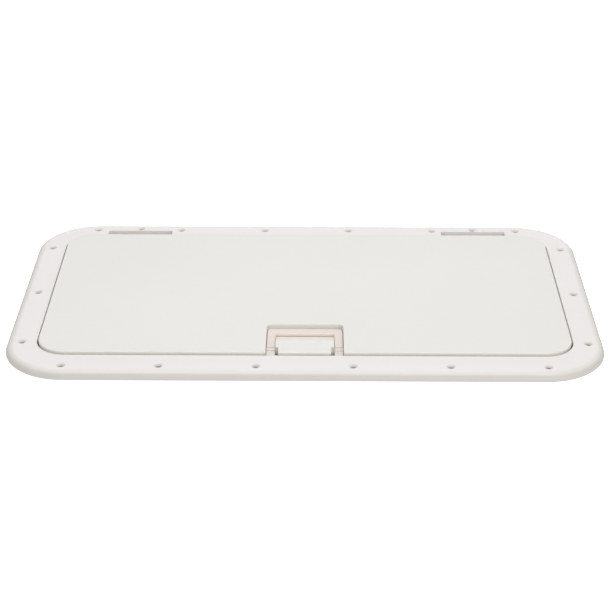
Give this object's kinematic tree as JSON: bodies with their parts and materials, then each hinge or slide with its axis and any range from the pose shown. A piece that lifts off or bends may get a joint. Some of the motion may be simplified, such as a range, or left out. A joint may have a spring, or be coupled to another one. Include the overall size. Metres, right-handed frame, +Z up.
{
  "type": "deck hatch",
  "caption": "Rectangular white plastic deck hatch: flanged frame with round corners, flush hinged lid and a recessed lift handle that works its latch.",
  "frame": {"origin": "middle of the hatch in plan, at the bottom edge of the collar", "axes": "+X along the hinge, +Y from the handle towards the hinge, +Z up out of the deck"},
  "size_m": [0.606, 0.353, 0.0295],
  "materials": {
    "frame_plastic": "satin moulded, slightly warm white",
    "lid_plastic": "fine non-slip grain",
    "latch_plastic": "satin, cream",
    "hinge_plastic": "natural nylon",
    "seal_rubber": "matt",
    "stainless": "bright stainless"
  },
  "bodies": {
    "frame": {"frame": "frame_plastic", "gasket": "seal_rubber", "hinge_pin_left": "stainless", "hinge_pin_right": "stainless", "hinge_pin_clip_left_1": "stainless", "hinge_pin_clip_left_2": "stainless", "hinge_pin_clip_right_1": "stainless", "hinge_pin_clip_right_2": "stainless", "strike_bracket": "stainless", "strike_screw_left": "stainless", "strike_screw_right": "stainless"},
    "lid": {"lid": "lid_plastic", "hinge_arm_left": "hinge_plastic", "hinge_arm_right": "hinge_plastic", "hinge_screw_left_1": "stainless", "hinge_screw_left_2": "stainless", "hinge_screw_left_3": "stainless", "hinge_screw_right_1": "stainless", "hinge_screw_right_2": "stainless", "hinge_screw_right_3": "stainless", "latch_tray": "latch_plastic", "handle_pin_left": "stainless", "handle_pin_right": "stainless", "latch_spring_left": "stainless", "latch_spring_right": "stainless", "tray_screw_left_1": "stainless", "tray_screw_left_2": "stainless", "tray_screw_right_1": "stainless", "tray_screw_right_2": "stainless"},
    "handle": {"lift_handle": "latch_plastic"}
  },
  "joints": [
    {"name": "lid_swing", "type": "hinge", "parent": "frame", "child": "lid", "pos_m": [0, 0.15, 0.023], "axis": [-1, 0, 0], "range_deg": [0, 105]},
    {"name": "handle_lift", "type": "hinge", "parent": "lid", "child": "handle", "pos_m": [0, -0.1295, 0.021], "axis": [1, 0, 0], "range_deg": [0, 75], "stiffness_Nm_per_rad": 0.03, "springref_deg": -22.92}
  ]
}
